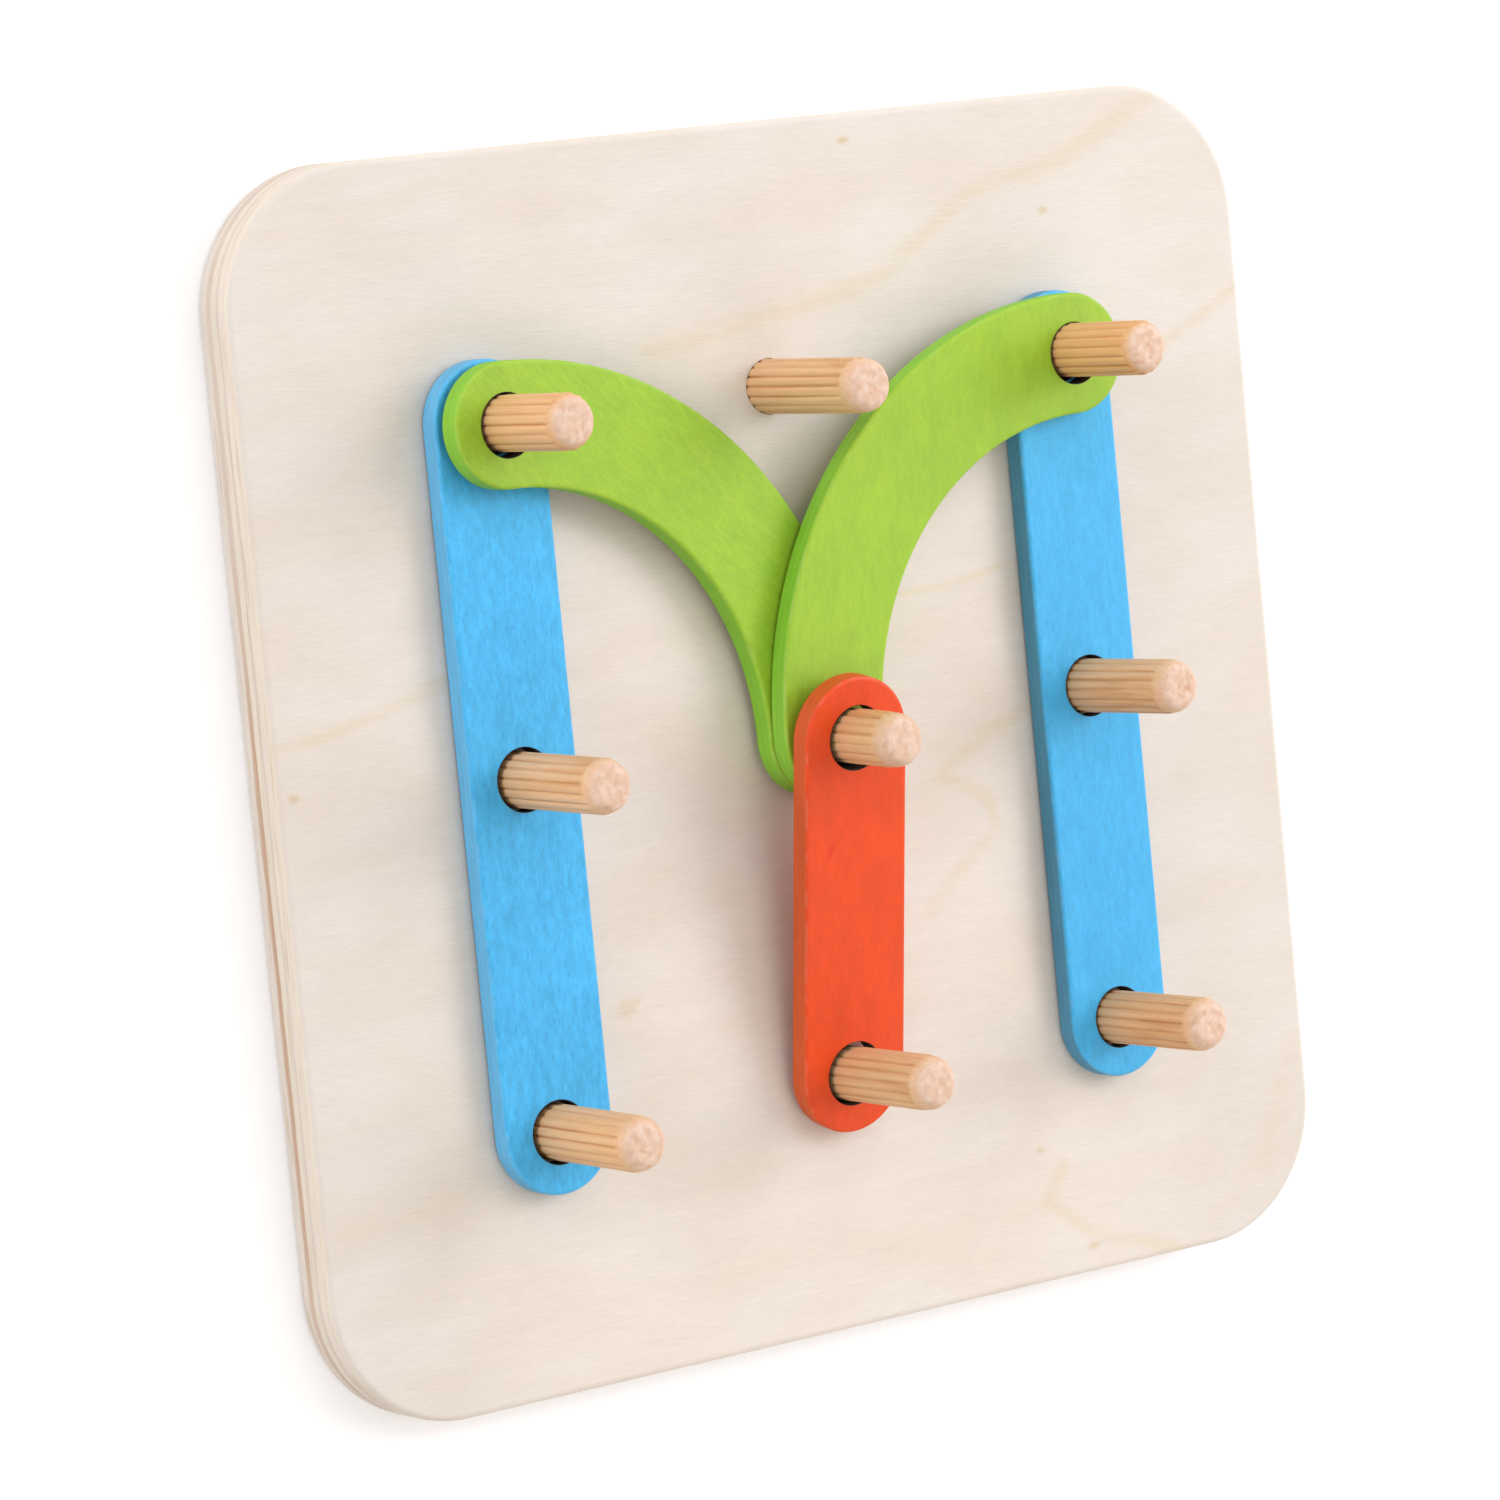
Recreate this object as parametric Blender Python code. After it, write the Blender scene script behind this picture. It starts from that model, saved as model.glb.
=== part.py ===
"""Peg board with coloured wooden links.

A square plywood board lies flat with nine fluted dowel pegs standing in it on a 3 by 3 grid. Five links drop
over the pegs and spell a letter shape: two long blue bars, two green quarter arcs and a short red bar. The
links lie on each other, so the upper ones lean.

Frame: metres, +Z up out of the board's front face, +Y towards the top row of pegs. The origin is at the centre
of the board's back face.
"""

import math

import bmesh
import bpy

# Board and peg grid
PITCH = 0.050  # distance between neighbouring pegs
BOARD_SIDE = 0.176
BOARD_THICK = 0.0082
BOARD_CORNER = 0.0205
BOARD_EDGE = 0.0010  # radius that rounds the board's edges

# Dowel pegs
PEG_RADIUS = 0.0040
PEG_PROUD = 0.025  # height above the board
PEG_SUNK = 0.005  # depth in its blind hole
PEG_HOLE_PLAY = 0.00015  # glue gap around and below a peg
FLUTES = 16
FLUTE_DEPTH = 0.00028
FLUTE_END = 0.0052  # the flutes fade out this far below the tip
TIP_RADIUS = 0.0026
TIP_CHAMFER = 0.0013

# Links
LINK_WIDTH = 0.0178
LINK_THICK = 0.0035
LINK_HOLE_RADIUS = 0.0046
LEANING_HOLE_RADIUS = 0.00475  # the steep red bar needs more room around upright pegs
LINK_EDGE = 0.0006  # radius that rounds a link's edges

REST_GAP = 0.00015  # between pieces that lie on each other

# How far each link has slid sideways in the play of its holes
SLID = {
    "blue_bar_left": (-0.0003, 0.0001),
    "blue_bar_right": (0.0002, 0.0),
    "green_arc_left": (-0.0002, -0.0003),
    "green_arc_right": (0.0, -0.00045),
    "red_bar": (0.0, 0.0),
}

# Mesh fineness
CORNER_STEPS = 12
CAP_STEPS = 16
ARC_STEPS = 20
EDGE_STEPS = 2
HOLE_SIDES = 40
FLUTE_POINTS = 3  # points around one flute's lobe

GRID = {
    "top_left": (-1, 1),
    "top_middle": (0, 1),
    "top_right": (1, 1),
    "middle_left": (-1, 0),
    "centre": (0, 0),
    "middle_right": (1, 0),
    "bottom_left": (-1, -1),
    "bottom_middle": (0, -1),
    "bottom_right": (1, -1),
}

REACH = LINK_WIDTH / 2 - LINK_EDGE  # from a hole's centre to the flat face's end
BAR_UNDERSIDE = BOARD_THICK + REST_GAP
BAR_TOP = BAR_UNDERSIDE + LINK_THICK


def clear_scene():
    for obj in list(bpy.data.objects):
        bpy.data.objects.remove(obj, do_unlink=True)


def make_material(name, color, roughness):
    material = bpy.data.materials.new(name)
    material.use_nodes = True
    shader = material.node_tree.nodes["Principled BSDF"]
    shader.inputs["Base Color"].default_value = (*color, 1.0)
    shader.inputs["Roughness"].default_value = roughness
    shader.inputs["Metallic"].default_value = 0.0
    return material


def link_object(name, mesh, material):
    mesh.materials.append(material)
    obj = bpy.data.objects.new(name, mesh)
    bpy.context.scene.collection.objects.link(obj)
    return obj


def stacked_rings(name, rings):
    """Closed body through a stack of equal rings, lowest first, with a flat cap at each end."""
    bm = bmesh.new()
    loops = [[bm.verts.new(point) for point in ring] for ring in rings]
    count = len(loops[0])
    for lower, upper in zip(loops, loops[1:]):
        for i in range(count):
            j = (i + 1) % count
            bm.faces.new((lower[i], lower[j], upper[j], upper[i]))
    bm.faces.new(reversed(loops[0]))
    bm.faces.new(loops[-1])
    mesh = bpy.data.meshes.new(name)
    bm.to_mesh(mesh)
    bm.free()
    mesh.shade_smooth()
    mesh.set_sharp_from_angle(angle=math.radians(35))
    return mesh


def rounded_slab(name, outline, low, high, edge):
    """Slab between two heights whose rims are rounded; outline(inset) gives its plan, pulled in by inset."""
    turns = [math.pi / 2 * k / EDGE_STEPS for k in range(EDGE_STEPS + 1)]
    profile = [(edge * (1 - math.sin(a)), low + edge * (1 - math.cos(a))) for a in turns]
    profile += [(inset, low + high - z) for inset, z in reversed(profile)]
    return stacked_rings(name, [[(x, y, z) for x, y in outline(inset)] for inset, z in profile])


def round_corner(centre, radius, start, turn, steps):
    """Points on a circle's stretch, from angle start through the angle turn."""
    points = []
    for k in range(steps + 1):
        angle = start + turn * k / steps
        points.append((centre[0] + radius * math.cos(angle), centre[1] + radius * math.sin(angle)))
    return points


def board_outline(inset):
    """Square with round corners, anticlockwise."""
    points = []
    reach = BOARD_SIDE / 2 - BOARD_CORNER
    for quarter, (sx, sy) in enumerate([(1, 1), (-1, 1), (-1, -1), (1, -1)]):
        centre = (sx * reach, sy * reach)
        points += round_corner(centre, BOARD_CORNER - inset, quarter * math.pi / 2, math.pi / 2, CORNER_STEPS)
    return points


def bar_outline(length):
    """Straight link from a hole at the origin to one at -Y, with round ends, anticlockwise."""

    def outline(inset):
        radius = LINK_WIDTH / 2 - inset
        top = round_corner((0, 0), radius, 0, math.pi, CAP_STEPS)
        return top + round_corner((0, -length), radius, math.pi, math.pi, CAP_STEPS)

    return outline


def arc_outline(side):
    """Quarter arc of radius PITCH from a hole at the origin to one at (side * PITCH, -PITCH).

    The arc leaves the origin level and comes down onto the far hole; side is 1 to the right, -1 to the left.
    """

    def outline(inset):
        radius = LINK_WIDTH / 2 - inset
        centre = (0, -PITCH)
        quarter = math.pi / 2
        points = round_corner(centre, PITCH + radius, 0, quarter, ARC_STEPS)
        points += round_corner((0, 0), radius, quarter, math.pi, CAP_STEPS)[1:-1]
        points += round_corner(centre, PITCH - radius, quarter, -quarter, ARC_STEPS)
        points += round_corner((PITCH, -PITCH), radius, math.pi, math.pi, CAP_STEPS)[1:-1]
        if side < 0:
            points = [(-x, y) for x, y in reversed(points)]
        return points

    return outline


def drill(obj, name, centres, radius, low, high):
    """Cut upright round holes between two heights of the object's own frame."""
    bm = bmesh.new()
    for x, y in centres:
        ring = round_corner((x, y), radius, 0, 2 * math.pi, HOLE_SIDES)[:-1]
        bottom = [bm.verts.new((px, py, low)) for px, py in ring]
        top = [bm.verts.new((px, py, high)) for px, py in ring]
        bm.faces.new(reversed(bottom))
        bm.faces.new(top)
        for i in range(HOLE_SIDES):
            j = (i + 1) % HOLE_SIDES
            bm.faces.new((bottom[i], bottom[j], top[j], top[i]))
    mesh = bpy.data.meshes.new(name)
    bm.to_mesh(mesh)
    bm.free()
    cutter = bpy.data.objects.new(name, mesh)
    bpy.context.scene.collection.objects.link(cutter)
    cutter.parent = obj
    cutter.hide_render = True
    cutter.display_type = "WIRE"
    cut = obj.modifiers.new("holes", "BOOLEAN")
    cut.operation = "DIFFERENCE"
    cut.solver = "EXACT"
    cut.object = cutter


def make_board(material):
    mesh = rounded_slab("board", board_outline, 0.0, BOARD_THICK, BOARD_EDGE)
    board = link_object("board", mesh, material)
    centres = [(PITCH * column, PITCH * row) for column, row in GRID.values()]
    floor = BOARD_THICK - PEG_SUNK - PEG_HOLE_PLAY
    drill(board, "board_cutter", centres, PEG_RADIUS + PEG_HOLE_PLAY, floor, BOARD_THICK + PEG_SUNK)
    return board


def peg_ring(radius, flute_depth, height):
    """Ring of round lobes with sharp valleys between them, or a plain circle where flute_depth is 0."""
    points = []
    for k in range(FLUTES * FLUTE_POINTS):
        angle = 2 * math.pi * k / (FLUTES * FLUTE_POINTS)
        across = 2 * (k % FLUTE_POINTS) / FLUTE_POINTS - 1
        r = radius - flute_depth * across * across
        points.append((r * math.cos(angle), r * math.sin(angle), height))
    return points


def make_pegs(material):
    """Nine dowels that share one mesh; each is turned differently in its hole."""
    tip = BOARD_THICK + PEG_PROUD
    rings = [
        peg_ring(PEG_RADIUS, FLUTE_DEPTH, BOARD_THICK - PEG_SUNK),
        peg_ring(PEG_RADIUS, FLUTE_DEPTH, tip - FLUTE_END),
        peg_ring(PEG_RADIUS - FLUTE_DEPTH / 2, 0.0, tip - FLUTE_END + 2 * FLUTE_DEPTH),
        peg_ring(PEG_RADIUS - FLUTE_DEPTH, 0.0, tip - TIP_CHAMFER),
        peg_ring((PEG_RADIUS + TIP_RADIUS) / 2, 0.0, tip - TIP_CHAMFER / 4),
        peg_ring(TIP_RADIUS, 0.0, tip),
    ]
    mesh = stacked_rings("peg", rings)
    mesh.materials.append(material)
    for turn, (place, (column, row)) in enumerate(GRID.items()):
        peg = bpy.data.objects.new("peg_" + place, mesh)
        bpy.context.scene.collection.objects.link(peg)
        peg.location = (PITCH * column, PITCH * row, 0.0)
        peg.rotation_euler.z = math.radians(41 * turn)


def make_link(name, outline, holes, hole_radius, place, material):
    """Flat link with its middle plane at its own origin, which goes to place; its holes are square to it."""
    mesh = rounded_slab(name, outline, -LINK_THICK / 2, LINK_THICK / 2, LINK_EDGE)
    link = link_object(name, mesh, material)
    drill(link, name + "_cutter", holes, hole_radius, -LINK_THICK, LINK_THICK)
    slid_x, slid_y = SLID[name]
    link.location = (place[0] + slid_x, place[1] + slid_y, place[2])
    return link


class Lean:
    """Underside of a link that rests on two supports, as a sloping line over one level direction."""

    def __init__(self, high_place, high, low_place, low):
        self.slope = (high - low) / (high_place - low_place)
        self.low_place = low_place
        self.low = low
        self.angle = math.atan(self.slope)
        self.upright_thickness = LINK_THICK / math.cos(self.angle)

    def underside(self, place):
        return self.low + self.slope * (place - self.low_place)

    def top(self, place):
        return self.underside(place) + self.upright_thickness

    def middle(self, place):
        return self.underside(place) + self.upright_thickness / 2

    def shortening(self):
        """How much closer than PITCH two holes one PITCH apart look from straight above."""
        return PITCH * (1 - math.cos(self.angle))


def make_blue_bars(material):
    holes = [(0, 0), (0, -PITCH), (0, -2 * PITCH)]
    for name, side in (("blue_bar_left", -1), ("blue_bar_right", 1)):
        place = (side * PITCH, PITCH, BAR_UNDERSIDE + LINK_THICK / 2)
        make_link(name, bar_outline(2 * PITCH), holes, LINK_HOLE_RADIUS, place, material)


def make_green_arcs(material):
    """The left arc leans from the left bar down to the board, and the right arc lies over it."""
    left_lean = Lean(REACH - PITCH, BAR_TOP + REST_GAP, REACH, BOARD_THICK + REST_GAP)
    holes = [(0, 0), (PITCH, -PITCH)]
    place = (-PITCH + left_lean.shortening() / 2, PITCH, left_lean.middle(-PITCH))
    left = make_link("green_arc_left", arc_outline(1), holes, LINK_HOLE_RADIUS, place, material)
    left.rotation_euler.y = -left_lean.angle

    right_lean = Lean(-REACH, left_lean.top(-REACH) + REST_GAP, PITCH + REACH, BAR_TOP + REST_GAP)
    holes = [(0, 0), (-PITCH, -PITCH)]
    place = (PITCH - right_lean.shortening() / 2, PITCH, right_lean.middle(PITCH))
    right = make_link("green_arc_right", arc_outline(-1), holes, LINK_HOLE_RADIUS, place, material)
    right.rotation_euler.y = -right_lean.angle
    return right_lean


def make_red_bar(material, right_arc_lean):
    """The red bar leans from the right arc's end down to the board beyond the bottom peg."""
    stack_top = right_arc_lean.top(0.0) + REST_GAP
    lean = Lean(-REACH, stack_top, -PITCH - REACH, BOARD_THICK + REST_GAP)
    place = (0.0, -lean.shortening() / 2, lean.middle(0.0))
    holes = [(0, 0), (0, -PITCH)]
    bar = make_link("red_bar", bar_outline(PITCH), holes, LEANING_HOLE_RADIUS, place, material)
    bar.rotation_euler.x = lean.angle


def main():
    clear_scene()
    plywood = make_material("plywood", (0.86, 0.78, 0.69), 0.6)
    dowel = make_material("dowel", (0.74, 0.48, 0.25), 0.65)
    blue = make_material("blue_stain", (0.10, 0.50, 0.90), 0.5)
    green = make_material("green_stain", (0.37, 0.65, 0.06), 0.5)
    red = make_material("red_stain", (0.88, 0.10, 0.03), 0.5)
    make_board(plywood)
    make_pegs(dowel)
    make_blue_bars(blue)
    right_arc_lean = make_green_arcs(green)
    make_red_bar(red, right_arc_lean)


main()
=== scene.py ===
"""Looks of the peg board with coloured wooden links.

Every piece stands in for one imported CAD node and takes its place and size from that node. The pieces are
rebuilt with finer edges, plywood layers, rounded hole mouths and fluted pegs, and get procedural wood.
"""

import math

import bmesh
import bpy
from mathutils import Matrix, Vector, geometry, noise


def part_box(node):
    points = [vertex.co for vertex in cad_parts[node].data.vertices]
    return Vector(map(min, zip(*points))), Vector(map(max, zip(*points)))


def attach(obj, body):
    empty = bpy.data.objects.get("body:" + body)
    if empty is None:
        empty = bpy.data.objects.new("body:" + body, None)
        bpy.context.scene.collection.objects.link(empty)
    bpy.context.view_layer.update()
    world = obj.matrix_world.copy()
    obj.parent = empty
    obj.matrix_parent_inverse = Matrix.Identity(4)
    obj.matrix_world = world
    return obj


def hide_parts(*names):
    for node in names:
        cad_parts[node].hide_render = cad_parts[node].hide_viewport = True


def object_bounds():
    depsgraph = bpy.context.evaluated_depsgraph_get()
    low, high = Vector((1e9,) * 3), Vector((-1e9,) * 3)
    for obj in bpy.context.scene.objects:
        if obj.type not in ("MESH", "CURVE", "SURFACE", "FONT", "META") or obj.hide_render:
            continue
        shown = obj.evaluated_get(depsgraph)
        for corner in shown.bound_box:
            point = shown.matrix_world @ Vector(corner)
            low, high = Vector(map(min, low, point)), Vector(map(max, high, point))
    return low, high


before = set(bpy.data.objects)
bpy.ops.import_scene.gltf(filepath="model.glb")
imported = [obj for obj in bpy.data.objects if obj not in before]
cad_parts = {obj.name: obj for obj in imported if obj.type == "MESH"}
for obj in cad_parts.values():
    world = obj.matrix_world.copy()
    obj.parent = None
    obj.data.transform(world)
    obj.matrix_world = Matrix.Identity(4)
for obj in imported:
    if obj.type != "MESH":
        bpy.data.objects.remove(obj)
cad_low, cad_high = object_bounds()

MM = 0.001  # a millimetre, in metres
PLACES = ("top_left", "top_middle", "top_right", "middle_left", "centre", "middle_right",
          "bottom_left", "bottom_middle", "bottom_right")

BOARD_CORNER = 20.5 * MM
BOARD_RIM = 0.9 * MM  # rounding of the edges
BOARD_SPACING = 3.2 * MM  # between the mesh points on the flats
BOARD_LAYER = 0.3 * MM  # between the mesh rows round the sides

PEG_RADIUS = 4.0 * MM
PEG_HOLE_PLAY = 0.03 * MM
PEG_HOLE_DROP = 0.1 * MM  # from the peg's foot to the hole's floor
PEG_HOLE_MOUTH = 0.05 * MM
FLUTES = 16
FLUTE_SIDES = 9  # mesh faces across each flute
FLUTE_DEPTH = 0.36 * MM
FLUTE_FADE = 1.1 * MM  # length over which a flute runs out
BARE_SHRINK = 0.18 * MM  # how much thinner a peg is past its flutes
PEG_TURN = 0.7156  # from each peg to the next, in radians, so that no two look alike

LINK_WIDTH = 17.8 * MM
LINK_RIM = 0.55 * MM
LINK_SPACING = 2.4 * MM
LINK_LAYER = 0.4 * MM
# The holes are a little tighter than the CAD's, as the photograph shows them.
LINK_HOLE_RADIUS = 4.54 * MM
LEANING_HOLE_RADIUS = 4.72 * MM  # the steep red bar needs more room around its pegs
LINK_HOLE_MOUTH = 0.09 * MM

OUTLINE_SPACING = 1.4 * MM  # between points on an outline's straight stretches
FLAT_BORDER = 0.25 * MM  # narrow ring of flat next to each rounded rim, which keeps the flats' shading level
HOLE_SIDES = 72
CORNER_STEPS = 24
END_STEPS = 36  # round a link's end
OUTER_ARC_STEPS = 60
INNER_ARC_STEPS = 44
LEAST_LAYER = 0.05 * MM  # the least height of a mesh row beside a rounded rim
RIM_STEPS = 5
MOUTH_STEPS = 4
TRIANGLE_HEIGHT = 0.866  # of an even triangle, for each unit of its side
PLATE_SHARP_ANGLE = math.radians(50)  # edges that bend more than this are shaded as sharp
PEG_SHARP_ANGLE = math.radians(60)


# ---------------------------------------------------------------- outlines and plates


def turn_points(centre, radius, start, turn, steps):
    """Points on a circle's stretch, from angle start through the angle turn."""
    return [
        (centre[0] + radius * math.cos(start + turn * step / steps),
         centre[1] + radius * math.sin(start + turn * step / steps))
        for step in range(steps + 1)
    ]


def spread(points, spacing):
    """The closed line through the points, with more points put in where two lie far apart."""
    closed = []
    for (x, y), (next_x, next_y) in zip(points, points[1:] + points[:1]):
        parts = max(1, round(math.hypot(next_x - x, next_y - y) / spacing))
        for part in range(parts):
            closed.append((x + (next_x - x) * part / parts, y + (next_y - y) * part / parts))
    return closed


def board_outline(side, corner):
    """A square with round corners. As with the other outlines, inset says how far inside it the line runs."""

    def outline(inset):
        points = []
        reach = side / 2 - corner
        for quarter, (side_x, side_y) in enumerate([(1, 1), (-1, 1), (-1, -1), (1, -1)]):
            centre = (side_x * reach, side_y * reach)
            points += turn_points(centre, corner - inset, quarter * math.pi / 2, math.pi / 2, CORNER_STEPS)
        return spread(points, OUTLINE_SPACING)

    return outline


def bar_outline(width, length):
    """A straight link that runs down from its upper hole, which is at the origin, to its last one."""

    def outline(inset):
        radius = width / 2 - inset
        points = turn_points((0, 0), radius, 0, math.pi, END_STEPS)
        points += turn_points((0, -length), radius, math.pi, math.pi, END_STEPS)
        return spread(points, OUTLINE_SPACING)

    return outline


def arc_outline(width, pitch, side):
    """A quarter arc from the hole at the origin to the hole one pitch aside and one pitch down."""

    def outline(inset):
        radius = width / 2 - inset
        centre = (0, -pitch)
        quarter = math.pi / 2
        points = turn_points(centre, pitch + radius, 0, quarter, OUTER_ARC_STEPS)
        points += turn_points((0, 0), radius, quarter, math.pi, END_STEPS)[1:-1]
        points += turn_points(centre, pitch - radius, quarter, -quarter, INNER_ARC_STEPS)
        points += turn_points((pitch, -pitch), radius, math.pi, math.pi, END_STEPS)[1:-1]
        if side < 0:
            points = [(-x, y) for x, y in reversed(points)]
        return points

    return outline


def inside(point, polygon):
    """Whether the point lies in the polygon: a line from it to the right crosses an odd number of sides."""
    x, y = point
    odd = False
    for (start_x, start_y), (end_x, end_y) in zip(polygon, polygon[1:] + polygon[:1]):
        crosses = (start_y > y) != (end_y > y)
        if crosses and x < start_x + (y - start_y) * (end_x - start_x) / (end_y - start_y):
            odd = not odd
    return odd


def rounded_profile(low, high, radius, layer):
    """(inset, z) pairs from the lower flat to the upper one, round the rim and up the side layer by layer."""
    turns = [math.pi / 2 * step / RIM_STEPS for step in range(RIM_STEPS + 1)]
    lower = [(radius * (1 - math.sin(angle)), low + radius * (1 - math.cos(angle))) for angle in turns]
    upper = [(inset, low + high - z) for inset, z in reversed(lower)]
    clear = radius + LEAST_LAYER
    rows = [low + layer * row for row in range(1, int((high - low) / layer) + 1)]
    between = [(0.0, z) for z in rows if low + clear < z < high - clear]
    return lower + between + upper


def rounded_hole(radius, low, high, mouth, floor):
    """(radius, z) pairs down a hole's wall from below to its mouth; floor is None for a through hole."""
    turns = [math.pi / 2 * step / MOUTH_STEPS for step in range(MOUTH_STEPS + 1)]
    lip = [(mouth * (1 - math.sin(angle)), mouth * (1 - math.cos(angle))) for angle in turns]
    upper = [(radius + flare, high - drop) for flare, drop in reversed(lip)]
    if floor is None:
        return [(radius + flare, low + rise) for flare, rise in lip] + upper
    return [(radius, floor)] + upper


def plate(name, outline, holes, low, high, rim, mouth, spacing, layer):
    """Closed plate with rounded rims, holes and evenly meshed flats.

    holes is a list of (x, y, radius, floor); floor is None for a through hole. spacing lies between the
    points of the flats' mesh, and layer between the rows of the sides' mesh. Faces on the rim and sides get
    material index 1 and those in the holes 2.
    """
    shell = bmesh.new()

    def skin(rings, index):
        for lower, upper in zip(rings, rings[1:]):
            for here in range(len(lower)):
                after = (here + 1) % len(lower)
                shell.faces.new((lower[here], lower[after], upper[after], upper[here])).material_index = index

    def ring_at(line, z):
        return [shell.verts.new((x, y, z)) for x, y in line]

    def circle(x, y, radius):
        return turn_points((x, y), radius, 0, -2 * math.pi, HOLE_SIDES)[:-1]

    rings = [ring_at(outline(inset), z) for inset, z in rounded_profile(low, high, rim, layer)]
    skin(rings, 1)
    flats = {}
    for side, z, ring in (("low", low, rings[0]), ("high", high, rings[-1])):
        line = outline(rim + FLAT_BORDER)
        inner = ring_at(line, z)
        skin([inner, ring] if side == "low" else [ring, inner], 0)
        flats[side] = [(line, inner)]
    for x, y, radius, floor in holes:
        wall = rounded_hole(radius, low, high, mouth, floor)
        walls = [ring_at(circle(x, y, reach), z) for reach, z in wall]
        skin(walls, 2)
        for side, z, ring in (("low", low, walls[0]), ("high", high, walls[-1])):
            if side == "low" and floor is not None:
                shell.faces.new(list(reversed(ring))).material_index = 2
                continue
            line = circle(x, y, radius + mouth + FLAT_BORDER)
            outer = ring_at(line, z)
            skin([outer, ring] if side == "low" else [ring, outer], 0)
            flats[side].append((line, outer))
    for side, z in (("low", low), ("high", high)):
        fill_flat(shell, flats[side], z, spacing, side == "high")
    mesh = bpy.data.meshes.new(name)
    shell.to_mesh(mesh)
    shell.free()
    mesh.shade_smooth()
    mesh.set_sharp_from_angle(angle=PLATE_SHARP_ANGLE)
    return mesh


def near_hole(x, y, line, margin):
    """Whether (x, y) lies within the round line or less than margin outside it."""
    middle_x = sum(point[0] for point in line) / len(line)
    middle_y = sum(point[1] for point in line) / len(line)
    reach = math.hypot(line[0][0] - middle_x, line[0][1] - middle_y) + margin
    return math.hypot(x - middle_x, y - middle_y) < reach


def fill_flat(shell, loops, z, spacing, facing_up):
    """Triangles between an outer loop and its holes, with points spread over the flat."""
    points = [Vector(point) for line, _ in loops for point in line]
    verts = [vertex for _, ring in loops for vertex in ring]
    polygons = [line for line, _ in loops]
    edges = []
    start = 0
    for line in polygons:
        edges += [(start + i, start + (i + 1) % len(line)) for i in range(len(line))]
        start += len(line)
    outer = polygons[0]
    x_values = [point[0] for point in outer]
    y_values = [point[1] for point in outer]
    rows = int((max(y_values) - min(y_values)) / (spacing * TRIANGLE_HEIGHT)) + 1
    columns = int((max(x_values) - min(x_values)) / spacing) + 1
    margin = spacing * 0.6  # the least distance from a rim or a hole
    for row in range(rows + 1):
        for column in range(columns + 1):
            x = min(x_values) + (column + 0.5 * (row % 2)) * spacing
            y = min(y_values) + row * spacing * TRIANGLE_HEIGHT
            around = ((margin, 0), (-margin, 0), (0, margin), (0, -margin))
            clear_of_rim = all(inside((x + step_x, y + step_y), outer) for step_x, step_y in around)
            if clear_of_rim and not any(near_hole(x, y, line, margin) for line in polygons[1:]):
                points.append(Vector((x, y)))
                verts.append(shell.verts.new((x, y, z)))
    _, _, faces, origins, _, _ = geometry.delaunay_2d_cdt(points, edges, [], 1, 1e-7)
    back = [origin[0] for origin in origins]
    for face in faces:
        a, b, c = (back[i] for i in face)
        middle = (points[a] + points[b] + points[c]) / 3
        if not inside(middle, outer) or any(inside(middle, line) for line in polygons[1:]):
            continue
        area = (points[b] - points[a]).cross(points[c] - points[a])
        if (area > 0) != facing_up:
            b, c = c, b
        shell.faces.new((verts[a], verts[b], verts[c])).material_index = 0


# ---------------------------------------------------------------- places read from the CAD


def centre_of(node):
    low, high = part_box(node)
    return (low + high) / 2


def own_frame(node):
    """A link's own axes and box: Z square to its flat faces, X level or leaning with it."""
    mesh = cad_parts[node].data
    up = max(mesh.polygons, key=lambda face: face.area).normal.copy()
    if up.z < 0:
        up.negate()
    across = (Vector((1, 0, 0)) - up * up.x).normalized()
    along = up.cross(across)
    axes = Matrix((across, along, up)).transposed()
    local = [axes.transposed() @ point.co for point in mesh.vertices]
    low = Vector([min(point[axis] for point in local) for axis in range(3)])
    high = Vector([max(point[axis] for point in local) for axis in range(3)])
    return axes, low, high


def put(name, mesh, materials, matrix, body, node):
    """Set the finished piece in its place, on its body, instead of its CAD node."""
    for material in materials:
        mesh.materials.append(material)
    piece = bpy.data.objects.new(name, mesh)
    bpy.context.scene.collection.objects.link(piece)
    piece.matrix_world = matrix
    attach(piece, body)
    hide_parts(node)


PITCH = centre_of("peg_top_middle").x - centre_of("peg_top_left").x


# ---------------------------------------------------------------- materials


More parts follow.
